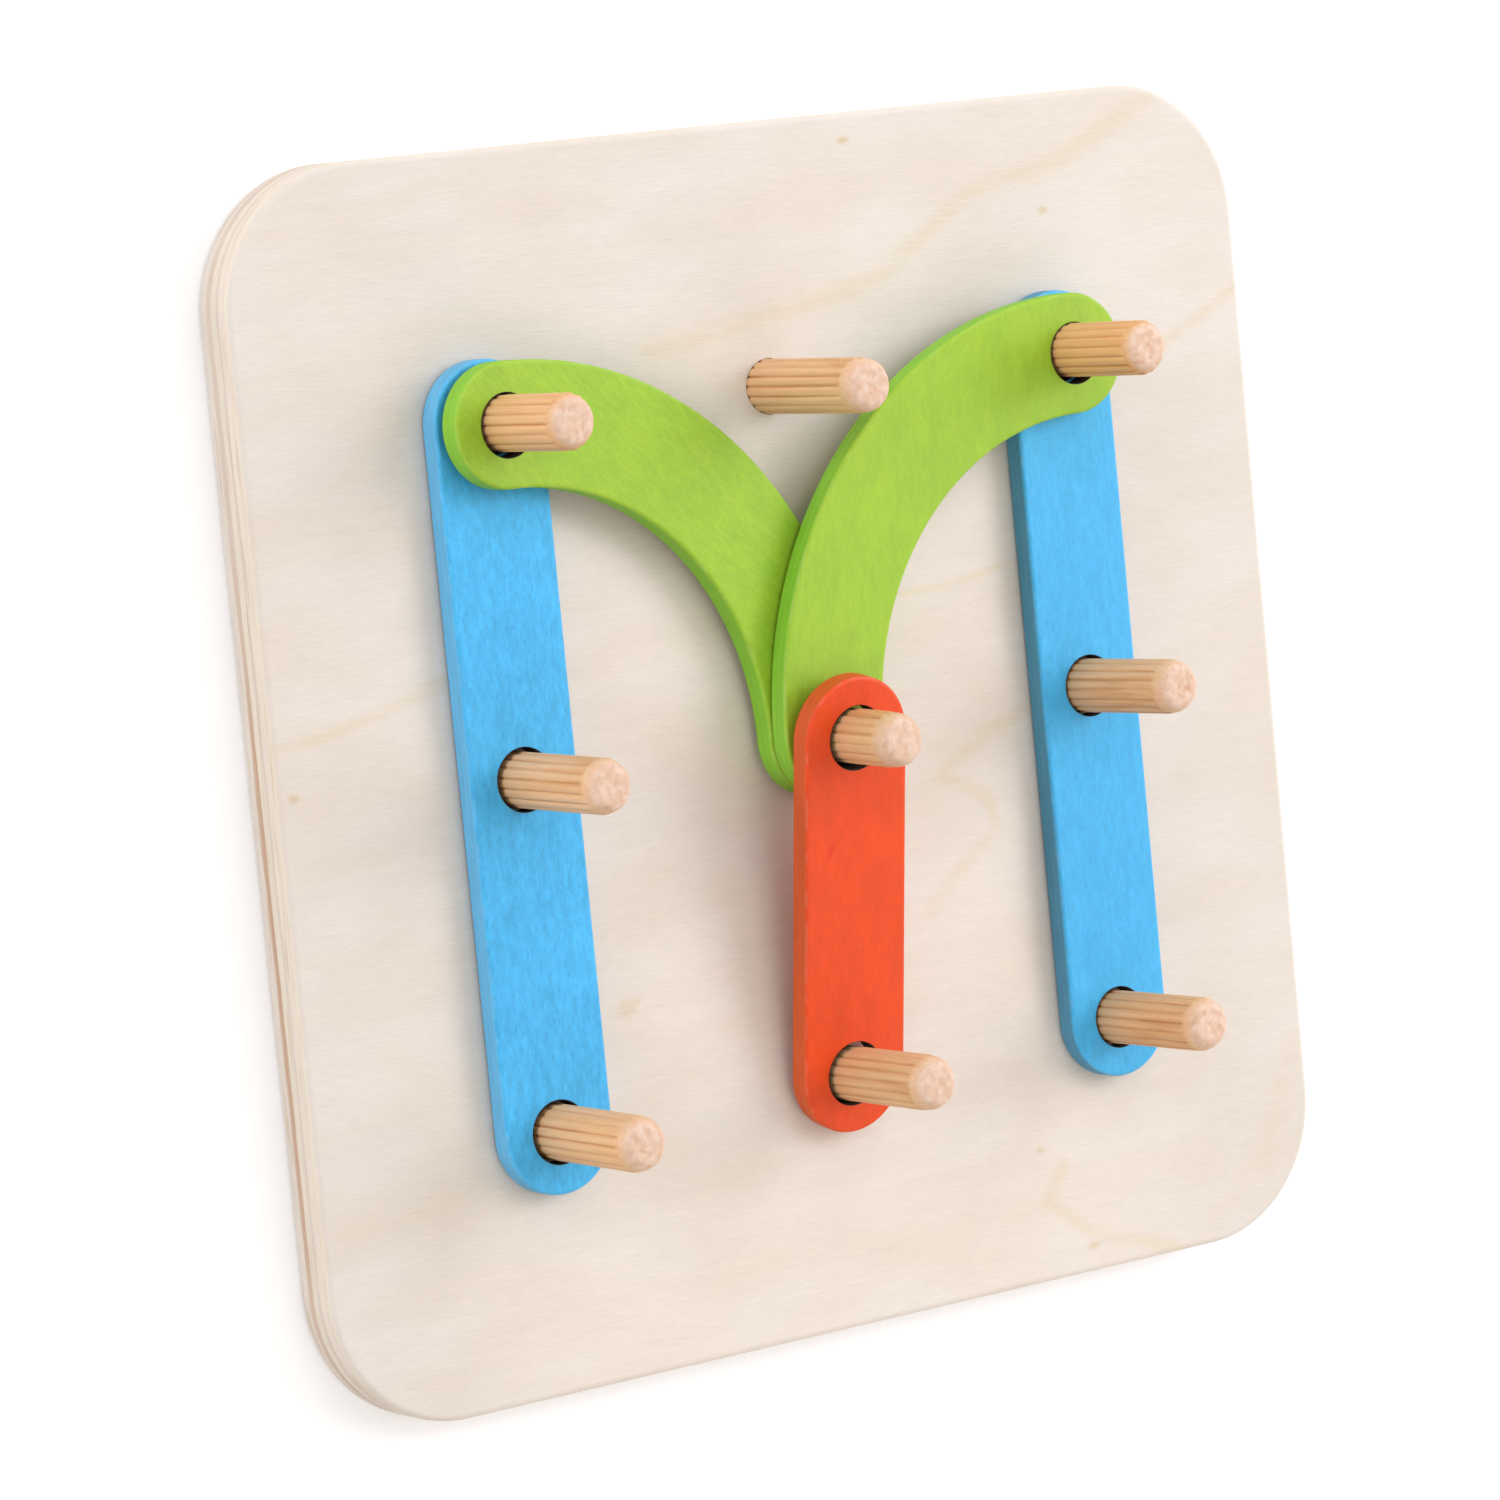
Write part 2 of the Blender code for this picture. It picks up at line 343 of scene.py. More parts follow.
class Paint:
    """A node material in the making; place is the point on the piece in its own millimetres."""

    def __init__(self, name, specular=0.35):
        self.material = bpy.data.materials.new(name)
        self.material.use_nodes = True
        self.tree = self.material.node_tree
        self.shader = self.tree.nodes["Principled BSDF"]
        self.shader.inputs["Specular IOR Level"].default_value = specular
        coordinates = self.tree.nodes.new("ShaderNodeTexCoord").outputs["Object"]
        self.place = self.vector("SCALE", coordinates, scale=1000.0)
        split = self.tree.nodes.new("ShaderNodeSeparateXYZ")
        self.tree.links.new(self.place, split.inputs[0])
        self.x, self.y, self.z = split.outputs

    def feed(self, socket, value):
        if isinstance(value, bpy.types.NodeSocket):
            self.tree.links.new(value, socket)
        elif value is not None:
            socket.default_value = value

    def math(self, operation, *values, clamp=False):
        node = self.tree.nodes.new("ShaderNodeMath")
        node.operation = operation
        node.use_clamp = clamp
        for socket, value in zip(node.inputs, values):
            self.feed(socket, value)
        return node.outputs[0]

    def vector(self, operation, *values, scale=None):
        node = self.tree.nodes.new("ShaderNodeVectorMath")
        node.operation = operation
        for socket, value in zip(node.inputs, values):
            self.feed(socket, value)
        if scale is not None:
            self.feed(node.inputs["Scale"], scale)
        return node.outputs["Value" if operation in ("LENGTH", "DISTANCE", "DOT_PRODUCT") else "Vector"]

    def join(self, x, y, z):
        node = self.tree.nodes.new("ShaderNodeCombineXYZ")
        for socket, value in zip(node.inputs, (x, y, z)):
            self.feed(socket, value)
        return node.outputs[0]

    def step(self, value, start, end):
        """0 before start, 1 after end, smooth between; start may be the greater one."""
        node = self.tree.nodes.new("ShaderNodeMapRange")
        node.interpolation_type = "SMOOTHSTEP"
        self.feed(node.inputs["Value"], value)
        low, high = (start, end) if start < end else (end, start)
        node.inputs["From Min"].default_value = low
        node.inputs["From Max"].default_value = high
        node.inputs["To Min"].default_value = 0.0 if start < end else 1.0
        node.inputs["To Max"].default_value = 1.0 if start < end else 0.0
        return node.outputs["Result"]

    def noise(self, size, detail=2.0, at=None, seed=0.0, roughness=0.5):
        """Noise from about 0.25 to 0.75 whose grains measure size, in millimetres."""
        node = self.tree.nodes.new("ShaderNodeTexNoise")
        node.inputs["Scale"].default_value = 1.0
        node.inputs["Detail"].default_value = detail
        node.inputs["Roughness"].default_value = roughness
        at = self.place if at is None else at
        shifted = self.vector("ADD", self.vector("DIVIDE", at, size), (seed * 7.3, seed * 3.1, seed * 5.7))
        self.feed(node.inputs["Vector"], shifted)
        return node.outputs[0]

    def swing(self, fac, amount):
        """A factor near 1 that follows noise fac by plus or minus amount."""
        return self.math("MULTIPLY_ADD", fac, 4 * amount, 1 - 2 * amount)

    def ramp(self, fac, stops, kind="LINEAR"):
        node = self.tree.nodes.new("ShaderNodeValToRGB")
        ramp = node.color_ramp
        ramp.interpolation = kind
        while len(ramp.elements) < len(stops):
            ramp.elements.new(1.0)
        for element, (position, color) in zip(ramp.elements, stops):
            element.position = position
            element.color = (*color, 1.0)
        self.feed(node.inputs[0], fac)
        return node.outputs[0]

    def mix(self, fac, one, two, blend="MIX"):
        node = self.tree.nodes.new("ShaderNodeMix")
        node.data_type = "RGBA"
        node.blend_type = blend
        colors = [(*color, 1.0) if isinstance(color, tuple) else color for color in (one, two)]
        self.feed(node.inputs[0], fac)
        self.feed(node.inputs[6], colors[0])
        self.feed(node.inputs[7], colors[1])
        return node.outputs[2]

    def times(self, color, *factors):
        """The colour times each factor, which is a number for all three channels or one for each."""
        for factor in factors:
            if not isinstance(factor, tuple):
                factor = self.join(factor, factor, factor)
            color = self.vector("MULTIPLY", color, factor)
        return color

    def tint(self, color, fac, shade):
        """The colour, multiplied by shade where fac is 1."""
        return self.mix(fac, color, shade, "MULTIPLY")

    def spot(self, at, x, y, long, wide, turn=0.0):
        """1 in the middle of an ellipse on the face, 0 outside it; turn is its angle in degrees."""
        offset = self.vector("MULTIPLY", self.vector("SUBTRACT", at, (x, y, 0.0)), (1.0, 1.0, 0.0))
        cosine = math.cos(math.radians(turn))
        sine = math.sin(math.radians(turn))
        along = self.vector("DOT_PRODUCT", offset, (cosine / long, sine / long, 0.0))
        across = self.vector("DOT_PRODUCT", offset, (-sine / wide, cosine / wide, 0.0))
        return self.step(self.vector("LENGTH", self.join(along, across, 0.0)), 1.0, 0.2)

    def stroke(self, at, points, width):
        """1 along the line through the points, fading to 0 at half the width from it."""
        flat = self.vector("MULTIPLY", at, (1.0, 1.0, 0.0))
        nearest = None
        for (start_x, start_y), (end_x, end_y) in zip(points, points[1:]):
            offset = self.vector("SUBTRACT", flat, (float(start_x), float(start_y), 0.0))
            way = (float(end_x - start_x), float(end_y - start_y), 0.0)
            square = way[0] ** 2 + way[1] ** 2
            share = self.math("MULTIPLY", self.vector("DOT_PRODUCT", offset, way), 1 / square, clamp=True)
            gap = self.vector("DISTANCE", offset, self.vector("SCALE", way, scale=share))
            nearest = gap if nearest is None else self.math("MINIMUM", nearest, gap)
        return self.step(nearest, width / 2, 0.0)

    def attribute(self, name):
        node = self.tree.nodes.new("ShaderNodeAttribute")
        node.attribute_name = name
        return node.outputs["Fac"]

    def finish(self, color, roughness, height, depth):
        """depth is the bump's height in millimetres."""
        self.feed(self.shader.inputs["Base Color"], color)
        self.feed(self.shader.inputs["Roughness"], roughness)
        bump = self.tree.nodes.new("ShaderNodeBump")
        bump.inputs["Strength"].default_value = 1.0
        bump.inputs["Distance"].default_value = depth * MM
        self.feed(bump.inputs["Height"], height)
        self.feed(self.shader.inputs["Normal"], bump.outputs[0])
        return self.material


# Growth lines of the board's face veneer: width and points on the face, all in mm.
GROWTH_LINES = (
    (2.6, ((44, -1), (38, -3), (31, -5), (26, -8), (24, -10), (29, -12), (33, -15), (33, -19), (28, -23),
           (20, -29))),
    (1.2, ((14, 18), (28, 18), (44, 20))),
    (3.4, ((-20, 57), (0, 60), (20, 63), (27, 67), (38, 74), (54, 77), (74, 86))),
    (2.0, ((-88, 9), (-77, 11), (-60, 15))),
    (4.0, ((-88, 78), (-68, 80), (-46, 85))),
    (2.0, ((62, 46), (72, 49), (88, 56))),
    (2.6, ((40, -71), (36, -76), (44, -82), (62, -88))),
    (7.0, ((-84, -58), (-70, -57), (-56, -61))),
    (5.0, ((66, -86), (78, -77), (86, -60))),
)
WIDEST_CLEAR_LINE = 3.6  # wider ones are faint bands
# Small knots and specks: place, half length, half width and strength.
VENEER_SPECKS = (
    (-35, -35.5, 2.6, 2.2, 0.50),
    (17, 84, 1.5, 0.8, 0.9),
    (52, 70.5, 1.4, 0.8, 0.9),
    (36, -68, 1.2, 0.9, 0.6),
    (-86, 2.5, 1.6, 1.0, 0.8),
    (44, -84, 1.6, 0.8, 0.7),
    (-33, -34.6, 1.0, 0.8, 0.35),
)
# What the colour is multiplied by on growth lines, on specks, along glue lines and on the brown heart.
GROWTH_SHADE = (0.972, 0.938, 0.84)
SPECK_SHADE = (0.89, 0.78, 0.59)
GLUE_SHADE = 0.88
HEART_SHADE = (0.84, 0.66, 0.54)
# Plies of the board's edge from the back to the face: share of the thickness where each ends, and colour.
PLIES = (
    (0.10, (0.555, 0.527, 0.510)),
    (0.29, (0.582, 0.522, 0.453)),
    (0.43, (0.522, 0.430, 0.353)),
    (0.60, (0.597, 0.527, 0.433)),
    (0.67, (0.533, 0.468, 0.403)),
    (0.88, (0.607, 0.532, 0.453)),
    (1.00, (0.637, 0.562, 0.460)),
)


def face_veneer(paint, thick):
    """Colour, fibre and streak noises of the face: wavering grain, growth lines and specks."""
    waver = paint.noise((46.0, 15.0, 30.0), 2.0)
    fine_waver = paint.noise((9.0, 4.0, 9.0), 1.0, seed=2)
    wide_shift = paint.math("MULTIPLY_ADD", waver, 4.0, -2.0)
    shift = paint.math("ADD", wide_shift, paint.math("MULTIPLY_ADD", fine_waver, 0.4, -0.2))
    along = paint.vector("ADD", paint.place, paint.join(0.0, shift, 0.0))
    fibre = paint.noise((2.8, 0.29, 0.29), 2.0, along, 0, 0.6)
    streak = paint.noise((40.0, 1.7, 2.0), 2.0, along, 3)
    blotch = paint.noise((30.0, 13.0, 20.0), 2.0, seed=5)
    cloud = paint.noise((11.0, 5.0, 9.0), 2.0, seed=6)
    pores = paint.step(paint.noise((2.2, 0.20, 0.3), 1.0, along, 8), 0.66, 0.74)
    color = paint.mix(paint.step(blotch, 0.35, 0.68), (0.688, 0.624, 0.566), (0.668, 0.592, 0.517))
    color = paint.times(color, paint.swing(fibre, 0.039), paint.swing(streak, 0.013))
    color = paint.times(color, paint.swing(cloud, 0.012))
    color = paint.tint(color, paint.math("MULTIPLY", pores, 0.5), (0.93, 0.90, 0.86))
    # painted shade: the face is made a little darker and cooler towards its sides and top, evening out the
    # light across it
    sideways = paint.step(paint.math("ABSOLUTE", paint.math("ADD", paint.x, shift)), 45, 72)
    margin = paint.math("MAXIMUM", sideways, paint.step(paint.y, 28, 55))
    color = paint.tint(color, margin, (0.945, 0.955, 0.962))
    wander = paint.vector("SUBTRACT", paint.join(fine_waver, waver, 0.0), (0.5, 0.5, 0.0))
    near = paint.vector("ADD", paint.place, paint.vector("SCALE", wander, scale=2.4))
    rings = None
    for width, points in GROWTH_LINES:
        line = paint.stroke(near, points, 1.6 * width)
        if width > WIDEST_CLEAR_LINE:
            line = paint.math("MULTIPLY", line, 0.45)
        rings = line if rings is None else paint.math("MAXIMUM", rings, line)
    face = paint.step(paint.z, thick * 0.6, thick * 0.7)
    broken = paint.step(paint.noise((7.0, 2.0, 5.0), 2.0, seed=11), 0.30, 0.56)
    patches = paint.math("MULTIPLY_ADD", broken, 0.6, 0.4)
    rings = paint.math("MULTIPLY", paint.math("MULTIPLY", rings, face), patches)
    color = paint.tint(color, rings, GROWTH_SHADE)
    for x, y, long, wide, strength in VENEER_SPECKS:
        spot = paint.math("MULTIPLY", paint.spot(near, x, y, long, wide), face)
        speck = paint.math("MULTIPLY", spot, strength)
        color = paint.tint(color, speck, SPECK_SHADE)
    return color, fibre, streak


def bare_plies(paint, thick):
    """Colour and grain of the board's sides: plies, glue lines, darker streaks and the brown heart."""
    height = paint.math("MULTIPLY_ADD", paint.noise((16.0, 16.0, 6.0), 2.0, seed=14), 0.5, -0.25)
    level = paint.math("DIVIDE", paint.math("ADD", paint.z, height), thick)
    stops = []
    start = 0.0
    for end, tone in PLIES:
        glue = tuple(GLUE_SHADE * part for part in tone)
        stops += [(start + 0.012, tone), (end - 0.012, tone), (end, glue)]
        start = end
    plies = paint.ramp(level, stops[:-1])
    # the grain turns at every ply but the fifth, which is a darker layer of the fourth
    turned = paint.ramp(level, [(0.0, (0, 0, 0)), (0.10, (1, 1, 1)), (0.29, (0, 0, 0)), (0.43, (1, 1, 1)),
                            (0.67, (0, 0, 0)), (0.88, (1, 1, 1))], "CONSTANT")
    lengthwise = paint.noise((5.0, 0.30, 0.16), 2.0, seed=16)
    crosswise = paint.noise((0.30, 5.0, 0.16), 2.0, seed=17)
    grain = paint.mix(turned, lengthwise, crosswise)
    cloud = paint.noise((12.0, 12.0, 1.2), 2.0, seed=18)
    plies = paint.times(plies, paint.swing(grain, 0.055), paint.swing(cloud, 0.05))
    streaks = paint.step(paint.noise((13.0, 13.0, 0.7), 1.0, seed=19), 0.58, 0.70)
    plies = paint.tint(plies, paint.math("MULTIPLY", streaks, 0.8), (0.86, 0.76, 0.68))
    # the brown heart runs along the middle ply on the left side
    uneven = paint.math("MULTIPLY_ADD", paint.noise((9.0, 9.0, 9.0), 2.0, seed=20), 0.12, -0.06)
    drifting = paint.math("ADD", level, uneven)
    heart = paint.math("MULTIPLY", paint.step(drifting, 0.27, 0.36), paint.step(drifting, 0.47, 0.40))
    lower_part = paint.math("MULTIPLY_ADD", paint.step(paint.y, -80.0, -48.0), 0.75, 0.25)
    stretch = paint.math("MULTIPLY", paint.step(paint.y, 45.0, -5.0), lower_part)
    heart = paint.math("MULTIPLY", heart, paint.math("MULTIPLY", paint.step(paint.x, -80.0, -86.0), stretch))
    return paint.tint(plies, heart, HEART_SHADE), grain


def birch_plywood(thick):
    """Face veneer with its figure on the flats, bare plies round the edge and in the holes."""
    paint = Paint("birch_plywood")
    veneer, fibre, streak = face_veneer(paint, thick)
    plies, grain = bare_plies(paint, thick)
    top = paint.step(paint.z, thick - 0.95, thick - 0.30)
    bottom = paint.step(paint.z, 0.95, 0.30)
    on_face = paint.math("MAXIMUM", top, bottom)
    below_top = paint.step(paint.z, thick - 1.6, thick - 0.5)
    rim = paint.math("MULTIPLY", below_top, paint.step(paint.z, thick, thick - 0.5))
    color = paint.mix(on_face, plies, veneer)
    color = paint.tint(color, paint.math("MULTIPLY", rim, 0.6), (0.99, 0.965, 0.90))
    relief = paint.mix(on_face, grain, fibre)
    rough = paint.math("MULTIPLY_ADD", streak, 0.16, 0.50)
    return paint.finish(color, rough, relief, 0.03)


def end_grain(paint, at, number, pores):
    """The cut end: faint rings about a point off the middle, fine pores and reddish checks."""
    core = paint.join(paint.math("MULTIPLY_ADD", number, 0.45, -2.4), -1.6, 0.0)
    bent = paint.math("MULTIPLY_ADD", paint.noise((1.6, 1.6, 3.0), 2.0, at, 14), 1.8, -0.9)
    off = paint.vector("SUBTRACT", paint.join(paint.math("ADD", paint.x, bent), paint.y, 0.0), core)
    rings = paint.math("SINE", paint.math("MULTIPLY", paint.vector("LENGTH", off), 4.2))
    blotch = paint.noise((1.3, 1.3, 1.0), 2.0, at, 16)
    end = paint.mix(paint.step(blotch, 0.34, 0.64), (0.670, 0.490, 0.385), (0.610, 0.405, 0.290))
    end = paint.times(end, paint.math("MULTIPLY_ADD", rings, 0.035, 1.0), paint.swing(pores, 0.014))
    checks = paint.step(paint.noise((0.6, 1.6, 1.0), 1.0, at, 18), 0.56, 0.80)
    return paint.tint(end, checks, (0.90, 0.78, 0.70))


def dowel_wood(height):
    """Beech-like dowel: streaks along it, painted shade in the flutes' valleys, pale end grain at the tip.

    Each peg's mesh says its number, how much of its tip is bare of flutes in mm, and how golden it is.
    """
    paint = Paint("dowel_wood")
    number = paint.attribute("own")
    bare = paint.attribute("bare")
    gold = paint.attribute("gold")
    aside = paint.join(paint.math("MULTIPLY", number, 17.0), paint.math("MULTIPLY", number, 5.0), 0.0)
    at = paint.vector("ADD", paint.place, aside)
    radius = paint.vector("LENGTH", paint.join(paint.x, paint.y, 0.0))
    streak = paint.noise((0.50, 0.50, 14.0), 3.0, at)
    fibre = paint.noise((0.20, 0.20, 4.0), 2.0, at, 3)
    wash = paint.noise((3.0, 3.0, 22.0), 1.0, at, 5)
    body = paint.mix(paint.step(streak, 0.30, 0.70), (0.660, 0.412, 0.215), (0.600, 0.358, 0.182))
    body = paint.tint(body, paint.step(wash, 0.35, 0.65), (1.02, 1.07, 1.18))
    body = paint.tint(body, gold, (1.0, 0.89, 0.70))
    body = paint.times(body, paint.swing(fibre, 0.035))
    below = paint.math("SUBTRACT", height, paint.math("ADD", paint.z, bare))
    # painted shade: the flute valleys are darkened in patches, up to where the flutes run out
    valley_shade = paint.math("MULTIPLY", paint.step(radius, 3.94, 3.72), paint.step(below, 0.0, 0.8))
    patches = paint.step(paint.noise((1.5, 1.5, 12.0), 1.0, at, 9), 0.38, 0.64)
    patchy = paint.math("MULTIPLY_ADD", patches, 0.62, 0.16)
    body = paint.tint(body, paint.math("MULTIPLY", valley_shade, patchy), (0.80, 0.68, 0.55))
    pale_cloud = paint.step(paint.noise((0.8, 0.8, 2.2), 2.0, at, 12), 0.32, 0.68)
    pale = paint.mix(pale_cloud, (0.655, 0.440, 0.295), (0.620, 0.385, 0.240))
    ragged = paint.math("MULTIPLY_ADD", paint.noise((0.6, 0.6, 1.2), 2.0, at, 13), 2.4, -1.2)
    smooth = paint.step(paint.math("ADD", below, ragged), 0.9, -1.1)
    body = paint.mix(smooth, body, pale)
    pores = paint.noise((0.20, 0.20, 0.3), 2.0, at, 15)
    uneven = paint.math("MULTIPLY_ADD", pores, 0.8, -0.4)
    tip = paint.step(paint.math("ADD", paint.z, uneven), height - 1.0, height - 0.2)
    color = paint.mix(tip, body, end_grain(paint, at, number, pores))
    pitted = paint.math("MULTIPLY", pores, paint.math("MULTIPLY", tip, 0.12))
    relief = paint.math("ADD", paint.math("MULTIPLY", streak, 0.5), pitted)
    return paint.finish(color, paint.math("MULTIPLY_ADD", fibre, 0.2, 0.48), relief, 0.05)


def stained_wood(name, tone, thick, grain_turn, seed, mottle, side_tone, marks=(), light_end=None):
    """Water-stained plywood: streaky colour along the grain, darker plies on the sides, rubbed edges.

    thick is in mm, and grain_turn in degrees. marks are small spots: place, half length, half width, turn and
    shade. light_end is the y above which the stain has another shade, the length over which it turns, and the
    shade.
    """
    paint = Paint(name)
    cosine = math.cos(math.radians(grain_turn))
    sine = math.sin(math.radians(grain_turn))
    waver = paint.noise((14.0, 14.0, 6.0), 1.0, seed=seed)
    along = paint.vector("DOT_PRODUCT", paint.place, (cosine, sine, 0.0))
    across = paint.vector("DOT_PRODUCT", paint.place, (-sine, cosine, 0.0))
    across = paint.math("ADD", across, paint.math("MULTIPLY_ADD", waver, 3.0, -1.5))
    at = paint.join(along, across, paint.z)
    fibre = paint.noise((1.1, 0.46, 0.46), 3.0, at, seed + 1, 0.62)
    streak = paint.noise((3.6, 1.2, 1.2), 2.0, at, seed + 2)
    cloud = paint.noise((6.0, 3.4, 4.0), 2.0, at, seed + 3)
    wide = paint.noise((26.0, 15.0, 9.0), 1.0, at, seed + 4)
    pores = paint.step(paint.noise((1.3, 0.34, 0.4), 1.0, at, seed + 5), 0.60, 0.74)
    deeper = paint.times(paint.join(*tone), (0.90, 0.95, 0.965))
    color = paint.mix(paint.step(cloud, 0.30, 0.70), tone, deeper)
    color = paint.times(color, paint.swing(fibre, mottle), paint.swing(streak, mottle * 0.65))
    color = paint.times(color, paint.swing(wide, mottle * 0.4))
    color = paint.tint(color, paint.math("MULTIPLY", pores, 5 * mottle), (0.80, 0.86, 0.90))
    if light_end:
        y, reach, shade = light_end
        color = paint.tint(color, paint.step(paint.y, y - reach, y), shade)
    for x, y, long, broad, turn, shade in marks:
        color = paint.tint(color, paint.spot(paint.place, x, y, long, broad, turn), shade)
    # plies on the sides
    uneven = paint.math("MULTIPLY_ADD", paint.noise((9.0, 9.0, 3.0), 1.0, seed=seed + 7), 0.3, -0.15)
    level = paint.math("ADD", paint.z, uneven)
    bands = paint.math("SINE", paint.math("MULTIPLY", level, 2 * math.pi / STAINED_PLY))
    side_streak = paint.noise((4.0, 4.0, 0.22), 2.0, seed=seed + 8)
    side_cloud = paint.noise((6.0, 6.0, 1.5), 1.0, seed=seed + 9)
    side = paint.times(paint.join(*side_tone), paint.math("MULTIPLY_ADD", bands, 0.030, 1.0))
    side = paint.times(side, paint.swing(side_streak, 0.055), paint.swing(side_cloud, 0.06))
    edge = thick / 2
    upper = paint.step(paint.math("ABSOLUTE", paint.z), edge - 0.50, edge - 0.16)
    color = paint.mix(upper, side, color)
    outermost = paint.step(paint.math("ABSOLUTE", paint.z), edge - 0.004, edge - 0.10)
    rim = paint.math("MULTIPLY", upper, outermost)
    worn = paint.step(paint.noise((2.5, 2.5, 2.5), 2.0, seed=seed + 10), 0.42, 0.66)
    rubbed = paint.math("MULTIPLY", rim, paint.math("MULTIPLY", worn, 0.07))
    color = paint.mix(rubbed, color, (0.74, 0.72, 0.60))
    relief = paint.mix(upper, side_streak, fibre)
    rough = paint.math("MULTIPLY_ADD", fibre, 0.20, 0.46)
    return paint.finish(color, rough, relief, 0.045)


def hole_wood(name, tone):
    """Drilled wall: scorched, hardly stained, darkened as painted shade, with fine scoring round it."""
    paint = Paint(name, 0.2)
    scoring = paint.noise((6.0, 6.0, 0.14), 2.0)
    patches = paint.noise((1.5, 1.5, 1.0), 2.0, seed=2)
    color = paint.times(paint.join(*tone), paint.swing(scoring, 0.18), paint.swing(patches, 0.15))
    return paint.finish(color, paint.math("MULTIPLY_ADD", scoring, 0.2, 0.6), scoring, 0.04)


def paper_floor():
    """Studio sweep: almost white paper with the faintest cool fibre."""
    paint = Paint("pale_floor", 0.1)
    cloud = paint.noise((90.0, 90.0, 90.0), 2.0)
    fibre = paint.noise((0.8, 0.8, 0.8), 2.0, seed=3)
    color = paint.times(paint.join(0.905, 0.905, 0.920), paint.swing(cloud, 0.003), paint.swing(fibre, 0.002))
    paint.shader.inputs["Emission Color"].default_value = (0.97, 0.97, 1.0, 1.0)
    paint.shader.inputs["Emission Strength"].default_value = 0.16
    return paint.finish(color, paint.math("MULTIPLY_ADD", fibre, 0.05, 0.82), fibre, 0.004)


STAINED_PLY = 1.15  # mm, the thickness of a light and a dark ply together
BLUE = (0.055, 0.403, 0.738)
GREEN = (0.297, 0.486, 0.0235)
GREEN_SIDE = (0.21, 0.47, 0.030)
RED = (0.738, 0.0605, 0.0040)
# hole walls: partly scorched wood, partly painted shade for the narrow gap round each peg
SCORCHED_AND_SHADED = (0.042, 0.031, 0.025)


# ---------------------------------------------------------------- pieces


def make_board():
    low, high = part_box("board")
    holes = []
    for place in PLACES:
        middle = centre_of("peg_" + place)
        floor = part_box("peg_" + place)[0].z - PEG_HOLE_DROP
        holes.append((middle.x, middle.y, PEG_RADIUS + PEG_HOLE_PLAY, floor))
    mesh = plate("board_plywood", board_outline(high.x - low.x, BOARD_CORNER), holes, low.z, high.z,
                 BOARD_RIM, PEG_HOLE_MOUTH, BOARD_SPACING, BOARD_LAYER)
    material = birch_plywood((high.z - low.z) / MM)
    put("board_plywood", mesh, [material] * 3, Matrix.Identity(4), "peg_board", "board")


# How much of a peg's tip has no flutes, in mm.
USUAL_BARE_TIP = 1.5
BARE_TIPS = {"top_left": 0.8, "top_right": 0.8, "centre": 2.3, "top_middle": 2.2}
# How golden a peg is, from 0 to 1.
USUAL_GOLD = 0.3
GOLDEN = {"top_right": 1.0, "top_left": 0.7, "centre": 0.5, "middle_right": 0.0, "middle_left": 0.1}
# How far the tips of pegs that were knocked in aslant lie off their feet, in mm.
LEANS = {"centre": (0.0, -0.72), "middle_right": (0.4, 0.3), "bottom_right": (0.4, 0.2),
         "top_middle": (0.1, -0.3), "bottom_middle": (0.2, 0.0), "middle_left": (0.1, -0.2)}
# The rings of a peg's mesh, all in mm: on the shaft, and closer on its last stretch.
SHAFT_STEP = 1.0
LAST_STRETCH = 7.0
LAST_STEP = 0.25
LAST_RINGS = 22
# Round the chamfer, how far each ring lies below the tip and its largest radius; then the radii on the end.
CHAMFER = ((1.5, 3.76), (1.2, 3.68), (0.9, 3.54), (0.62, 3.36), (0.38, 3.13), (0.18, 2.86), (0.04, 2.55))
END_RADII = (2.0, 1.4, 0.8, 0.3)


